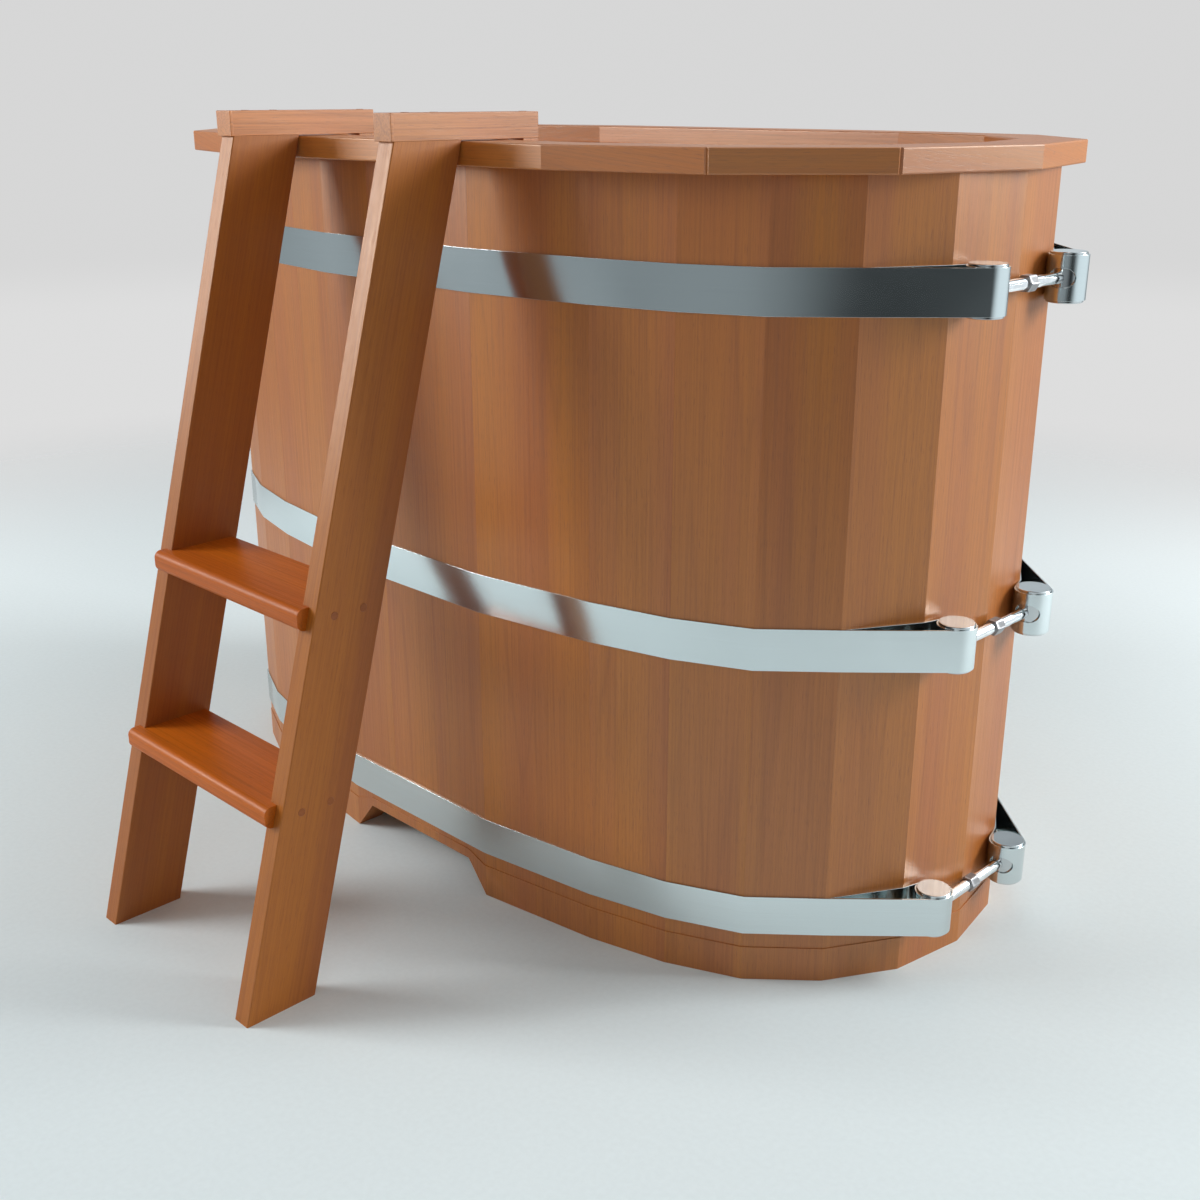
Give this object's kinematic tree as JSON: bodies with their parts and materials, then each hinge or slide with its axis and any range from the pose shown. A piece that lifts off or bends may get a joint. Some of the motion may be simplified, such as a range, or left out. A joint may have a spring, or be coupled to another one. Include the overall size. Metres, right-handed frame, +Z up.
{
  "type": "plunge tub",
  "caption": "Oval wooden plunge tub of upright staves with clamped steel hoops, a mitred rim, a floor drain and a lift-off two-tread ladder.",
  "frame": {"origin": "middle of the whole footprint, clamps and ladder included, on the ground", "axes": "+Z up, +X along the tub towards the end with the hoop clamps, -Y towards the side with the ladder"},
  "size_m": [1.3954, 1.1478, 1.0319],
  "materials": {
    "stave_wood": "satin oiled",
    "rim_wood": "satin oiled",
    "floor_wood": "satin oiled",
    "stringer_wood": "satin oiled",
    "tread_wood": "satin oiled",
    "hook_wood": "satin oiled",
    "plug_wood": "satin oiled",
    "dowel_wood": "satin oiled",
    "hoop_steel": "satin",
    "polished_steel": "polished",
    "screw_steel": "plain",
    "drain_steel": "satin",
    "drain_rubber": "matt"
  },
  "bodies": {
    "tub": {"clamp_pins": "polished_steel", "drain_gasket": "drain_rubber", "drain_nut": "drain_steel", "drain_outlet": "drain_steel", "floor_battens": "floor_wood", "floor_boards": "floor_wood", "hoop_bottom": "hoop_steel", "hoop_middle": "hoop_steel", "hoop_top": "hoop_steel", "rim_back": "rim_wood", "rim_clamp_back_1": "rim_wood", "rim_clamp_back_2": "rim_wood", "rim_clamp_back_3": "rim_wood", "rim_clamp_front_1": "rim_wood", "rim_clamp_front_2": "rim_wood", "rim_clamp_front_3": "rim_wood", "rim_dowels": "dowel_wood", "rim_front": "rim_wood", "rim_plain_back_1": "rim_wood", "rim_plain_back_2": "rim_wood", "rim_plain_back_3": "rim_wood", "rim_plain_front_1": "rim_wood", "rim_plain_front_2": "rim_wood", "rim_plain_front_3": "rim_wood", "side_staves_back": "stave_wood", "side_staves_front": "stave_wood", "stave_clamp_back_1": "stave_wood", "stave_clamp_back_2": "stave_wood", "stave_clamp_back_3": "stave_wood", "stave_clamp_back_4": "stave_wood", "stave_clamp_back_5": "stave_wood", "stave_clamp_front_1": "stave_wood", "stave_clamp_front_2": "stave_wood", "stave_clamp_front_3": "stave_wood", "stave_clamp_front_4": "stave_wood", "stave_clamp_front_5": "stave_wood", "stave_plain_back_1": "stave_wood", "stave_plain_back_2": "stave_wood", "stave_plain_back_3": "stave_wood", "stave_plain_back_4": "stave_wood", "stave_plain_back_5": "stave_wood", "stave_plain_front_1": "stave_wood", "stave_plain_front_2": "stave_wood", "stave_plain_front_3": "stave_wood", "stave_plain_front_4": "stave_wood", "stave_plain_front_5": "stave_wood"},
    "ladder": {"ladder_stringer_left": "stringer_wood", "ladder_stringer_right": "stringer_wood", "ladder_tread_lower": "tread_wood", "ladder_tread_upper": "tread_wood", "hook_arm_left": "hook_wood", "hook_arm_right": "hook_wood", "hook_teeth": "hook_wood", "ladder_screws": "screw_steel", "ladder_plugs": "plug_wood"},
    "drain_plug": {"drain_plug": "drain_rubber"},
    "tension_rod_bottom": {"tension_rod_bottom": "polished_steel"},
    "tension_rod_middle": {"tension_rod_middle": "polished_steel"},
    "tension_rod_top": {"tension_rod_top": "polished_steel"}
  },
  "joints": [
    {"name": "ladder_lift", "type": "slide", "parent": "tub", "child": "ladder", "axis": [0, 0, 1], "range_m": [0, 0.12]},
    {"name": "drain_plug_pull", "type": "slide", "parent": "tub", "child": "drain_plug", "axis": [0, 0, 1], "range_m": [0, 0.1]},
    {"name": "tension_rod_bottom_turn", "type": "hinge", "parent": "tub", "child": "tension_rod_bottom", "pos_m": [0.67425, 0.18695, 0.092], "axis": [0, 1, 0], "range_deg": [-1080, 180]},
    {"name": "tension_rod_middle_turn", "type": "hinge", "parent": "tub", "child": "tension_rod_middle", "pos_m": [0.67425, 0.18695, 0.444], "axis": [0, 1, 0], "range_deg": [-1080, 180]},
    {"name": "tension_rod_top_turn", "type": "hinge", "parent": "tub", "child": "tension_rod_top", "pos_m": [0.67425, 0.18695, 0.852], "axis": [0, 1, 0], "range_deg": [-1080, 180]}
  ]
}
